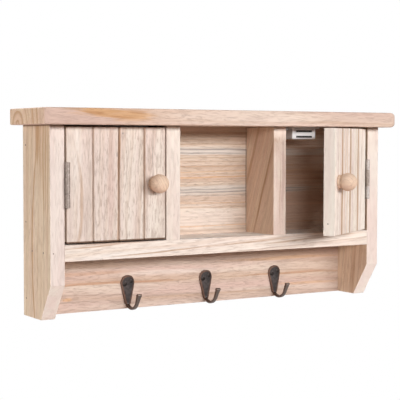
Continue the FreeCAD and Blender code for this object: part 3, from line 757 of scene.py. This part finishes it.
metalLook = {                        # scale: patches to a metre
    "hinge-nickel": {
        "tone": (0.30, 0.265, 0.245), "worn": (0.46, 0.42, 0.395), "metallic": 0.7,
        "rough": 0.42, "scale": 420.0, "bump": 0.0003,
        "pieces": ("right_hinge_frame_leaf", "right_hinge_pin"),
    },
    # the same nickel as above, painted darker as shade on the left hinge and on the right door leaf
    "hinge-dull": {
        "tone": (0.22, 0.177, 0.152), "worn": (0.34, 0.29, 0.262), "metallic": 0.7,
        "rough": 0.46, "scale": 420.0, "bump": 0.0003,
        "pieces": ("right_hinge_door_leaf", "left_hinge_door_leaf", "left_hinge_frame_leaf",
                   "left_hinge_pin"),
    },
    "zinc-screw": {
        "tone": (0.52, 0.52, 0.53), "worn": (0.62, 0.62, 0.62), "metallic": 1.0,
        "rough": 0.3, "scale": 300.0, "bump": 0.0001,
        "pieces": ("frame_hinge_screws", "left_door_hinge_screws", "right_door_hinge_screws", "catch_screws",
                   "left_knob_screw", "right_knob_screw", "left_strike_screw", "right_strike_screw"),
    },
    "catch-steel": {
        "tone": (0.30, 0.29, 0.30), "worn": (0.40, 0.39, 0.39), "metallic": 1.0,
        "rough": 0.4, "scale": 300.0, "bump": 0.0001,
        "pieces": ("left_strike_plate", "right_strike_plate"),
    },
    "catch-poles": {
        "tone": (0.05, 0.046, 0.045), "worn": (0.10, 0.095, 0.09), "metallic": 1.0,
        "rough": 0.5, "scale": 500.0, "bump": 0.0001,
        "pieces": ("left_catch_poles", "right_catch_poles", "left_catch_magnet", "right_catch_magnet"),
    },
    "brad-steel": {
        "tone": (0.20, 0.16, 0.13), "worn": (0.30, 0.24, 0.19), "metallic": 1.0,
        "rough": 0.5, "scale": 500.0, "bump": 0.0001,
        "pieces": ("side_nails", "top_nails", "shelf_nails"),
    },
    "bronze-screw": {
        "tone": (0.022, 0.016, 0.014), "worn": (0.050, 0.038, 0.034), "metallic": 0.8,
        "rough": 0.42, "scale": 400.0, "bump": 0.0002,
        "pieces": ("hook_screws",),
    },
}
metalWear = {
    "finer": 7.0,                    # scuffs to a patch
    "worn": (0.4, 0.75),             # where in their noise the patches start and are full
    "relief": (0.7, 0.3),            # of patches and scuffs
    "roughSpread": 0.2,
}


def metalPaint(name, tone, worn, metallic, rough, scale, bump, pieces):
    paint = newPaint(name)
    spot = paint.spot()
    patches = paint.noise(spot, (scale,) * 3, detail=4.0, rough=0.6)
    scuffs = paint.noise(spot, (scale * metalWear["finer"],) * 3, detail=2.0)
    colour = paint.mix(patches.step(*metalWear["worn"]), tone, worn)
    broad, fine = metalWear["relief"]
    dress(paint.surface(patches * broad + scuffs * fine, bump, Base_Color=colour, Metallic=metallic,
                        Roughness=scuffs * metalWear["roughSpread"] + rough), *pieces)


for name, metal in metalLook.items():
    metalPaint(name, **metal)


# Hooks: dark cast bronze, rubbed brown along every edge. The plate is a teardrop: a round head above a round
# neck with straight sides between them, so the distance to its edge is that to the sides or to the head.

hookLook = {
    "head": (0.0089, 0.0305),        # radius, height above the hook's lowest point
    "neck": (0.0035, 0.0075),
    "armFront": 0.0042,              # where the arm comes free of the plate
    "armHalf": 0.0027,
    "cast": (0.020, 0.014, 0.013),
    "sheen": (0.046, 0.035, 0.033),
    # painted highlight: the free arm paler than the plate, for the light that it catches
    "finger": (0.130, 0.095, 0.078),
    "rim": (0.088, 0.042, 0.027),
    "rimWidth": (0.0009, 0.0026),    # of the plate: rubbed through, and rubbed at all
    "armRim": 0.0014,
    "headBlend": 0.0005,             # half the height over which the sides pass into the head
    "armBlend": 0.001,               # depth over which the plate passes into the arm
    "patches": 260.0,                # to a metre
    "pits": 1400.0,
    "sheenFrom": (0.42, 0.68),       # where in the patches the sheen starts and is full
    "rubFrom": (0.25, 0.55),         # the same for the rub along the rim
    "rubLeast": 0.6,
    "relief": (0.6, 0.4),            # of patches and pits
    "bump": 0.0004,
    "rough": (0.36, 0.2),            # least, and how much more the pits add
    "metallic": 0.8,
    "lacquer": 0.35,
    "lacquerRough": 0.2,
}


def bronzePaint(hook):
    paint = newPaint("bronze-" + hook)
    low, high = closedBox(hook)
    local = paint.vector("SUBTRACT", paint.spot(), ((low.x + high.x) / 2, closedBox("hook_rail")[0].y, low.z))
    x, y, z = paint.split(local)
    headRadius, headHeight = hookLook["head"]
    neckRadius, neckHeight = hookLook["neck"]
    flare = (headRadius - neckRadius) / (headHeight - neckHeight)
    square = math.sqrt(1 - flare ** 2)
    sides = abs(x) * square - (z - neckHeight) * flare - neckRadius
    flat = paint.node("CombineXYZ", {}, {"X": x, "Z": z})
    fromHead = paint.vector("SUBTRACT", flat, (0.0, 0.0, headHeight))
    head = paint.vector("LENGTH", fromHead, out="Value") - headRadius
    tangent = headHeight - headRadius * flare
    upper = z.step(tangent - hookLook["headBlend"], tangent + hookLook["headBlend"])
    inner, outer = hookLook["rimWidth"]
    plateRim = (sides * (1 - upper) + head * upper).step(-outer, -inner)
    free = (y * -1.0).step(hookLook["armFront"] - hookLook["armBlend"], hookLook["armFront"])
    armRim = abs(x).step(hookLook["armHalf"] - hookLook["armRim"], hookLook["armHalf"])
    rim = plateRim * (1 - free) + armRim * free
    patches = paint.noise(local, (hookLook["patches"],) * 3, detail=4.0, rough=0.6)
    pits = paint.noise(local, (hookLook["pits"],) * 3, detail=2.0)
    colour = paint.mix(patches.step(*hookLook["sheenFrom"]), hookLook["cast"], hookLook["sheen"])
    # painted highlight on the free arm
    colour = paint.mix(free, colour, hookLook["finger"])
    least = hookLook["rubLeast"]
    rub = patches.step(*hookLook["rubFrom"]) * (1 - least) + least
    colour = paint.mix(rim * rub, colour, hookLook["rim"])
    broad, fine = hookLook["relief"]
    smooth, more = hookLook["rough"]
    dress(paint.surface(patches * broad + pits * fine, hookLook["bump"], Base_Color=colour,
                        Metallic=hookLook["metallic"], Roughness=pits * more + smooth,
                        Coat_Weight=hookLook["lacquer"], Coat_Roughness=hookLook["lacquerRough"]), hook)


for number in (1, 2, 3):
    bronzePaint("key_hook_%d" % number)


# Catch housings: white moulded plastic with a fine grain

plasticLook = {
    "dark": (0.74, 0.73, 0.735),
    "light": (0.80, 0.79, 0.80),
    "grain": 900.0,                  # to a metre
    "rough": (0.35, 0.1),            # least, and how much more the grain adds
    "bump": 0.0001,
    "pieces": ("left_catch_housing", "right_catch_housing"),
}


def plasticPaint(dark, light, grain, rough, bump, pieces):
    paint = newPaint("catch-plastic")
    speckle = paint.noise(paint.spot(), (grain,) * 3, detail=2.0)
    smooth, more = rough
    dress(paint.surface(speckle, bump, Base_Color=paint.mix(speckle, dark, light),
                        Roughness=speckle * more + smooth), *pieces)


plasticPaint(**plasticLook)
print("metals and plastic painted")


# Stage: a pale floor well below the hanging cabinet, white all round, a wide strip light in front, a fill
# from the left, a lamp behind and a weak warm card from below

stage = {
    "floorDrop": 0.22,
    "floorSize": 6.0,
    "floorTone": (0.86, 0.86, 0.86),
    "bounceNear": (0.66, 0.53, 0.46),  # what the floor sends back up, under the cabinet and far from it
    "bounceFar": (0.16, 0.10, 0.075),
    "bounceReach": (0.35, 0.80),
    "shadowReach": (0.28, 0.42),     # the floor turns white between these distances from the middle
    "ambient": (0.005, 0.003, 0.002),
    "aim": (0.0, -0.03, -0.06),
    "lamps": {                       # azimuth from the front, to the right; elevation; both in degrees
        "key": {"azimuth": 6.0, "elevation": 13.4, "distance": 3.2, "size": (4.2, 0.56), "power": 137.0},
        "fill": {"azimuth": -101.0, "elevation": 3.0, "distance": 2.2, "size": (1.0, 1.0), "power": 32.5},
        "rear": {"azimuth": 180.0, "elevation": 42.0, "distance": 2.4, "size": (0.4, 0.9), "power": 55.0},
        "card": {"azimuth": 5.0, "elevation": -28.0, "distance": 1.5, "size": (1.2, 0.3), "power": 2.8,
                 "tone": (1.0, 0.88, 0.80)},
    },
}


def addFloor():
    half = stage["floorSize"] / 2
    height = cadBox[0].z - stage["floorDrop"]
    mesh = bpy.data.meshes.new("floor")
    corners = [(-half, -half, height), (half, -half, height), (half, half, height), (-half, half, height)]
    mesh.from_pydata(corners, [], [(0, 1, 2, 3)])
    floor = bpy.data.objects.new("floor", mesh)
    bpy.context.scene.collection.objects.link(floor)
    paint = newPaint("floor")
    onFloor = paint.vector("MULTIPLY", paint.spot(), (1.0, 1.0, 0.0))
    away = paint.vector("LENGTH", onFloor, out="Value")
    seen = paint.seenRay()
    bounce = paint.mix(away.step(*stage["bounceReach"]), stage["bounceNear"], stage["bounceFar"])
    matte = paint.node("BsdfDiffuse", {}, {"Color": paint.mix(seen, bounce, stage["floorTone"])})
    white = paint.node("Emission", {}, {"Strength": 1.0})
    shader = paint.node("MixShader", {}, {0: away.step(*stage["shadowReach"]) * seen, 1: matte, 2: white})
    paint.node("OutputMaterial", {}, {"Surface": shader})
    mesh.materials.append(paint.owner)


def addWorld():
    world = bpy.data.worlds.new("white surround")
    bpy.context.scene.world = world
    paint = Paint(world)
    colour = paint.mix(paint.seenRay(), stage["ambient"], (1.0, 1.0, 1.0))
    background = paint.node("Background", {}, {"Color": colour, "Strength": 1.0})
    paint.node("OutputWorld", {}, {"Surface": background})


def addLamp(name, azimuth, elevation, distance, size, power, tone=(1.0, 1.0, 1.0)):
    lamp = bpy.data.lights.new(name, "AREA")
    lamp.shape = "RECTANGLE"
    lamp.size, lamp.size_y = size
    lamp.energy = power
    lamp.color = tone
    across, up = math.radians(azimuth), math.radians(elevation)
    way = Vector((math.sin(across) * math.cos(up), -math.cos(across) * math.cos(up), math.sin(up)))
    item = bpy.data.objects.new(name, lamp)
    item.location = Vector(stage["aim"]) + way * distance
    item.rotation_euler = way.to_track_quat("Z", "Y").to_euler()
    bpy.context.scene.collection.objects.link(item)


addFloor()
addWorld()
for name, lamp in stage["lamps"].items():
    addLamp(name, **lamp)
print("stage set")


# Camera: where the photograph was taken from, worked out from the board corners

view = {
    "at": (-0.7326, -1.2031, 0.0234),
    "turn": 31.541,                  # degrees to the right, down and round
    "down": 2.938,
    "roll": 0.082,
    "focal": 1160.9,                 # in pixels of a picture this wide
    "width": 400,
    "sensor": 36.0,                  # millimetres
}
turn, down = math.radians(view["turn"]), math.radians(view["down"])
ahead = Vector((math.sin(turn) * math.cos(down), math.cos(turn) * math.cos(down), -math.sin(down)))
lens = bpy.data.cameras.new("camera")
lens.sensor_width = view["sensor"]
lens.lens = lens.sensor_width * view["focal"] / view["width"]
camera = bpy.data.objects.new("camera", lens)
camera.location = view["at"]
level = ahead.to_track_quat("-Z", "Y").to_matrix()
camera.rotation_euler = (level @ Matrix.Rotation(math.radians(view["roll"]), 3, "Z")).to_euler()
bpy.context.scene.collection.objects.link(camera)
bpy.context.scene.camera = camera
bpy.context.scene.view_settings.view_transform = "Standard"
print("camera placed")
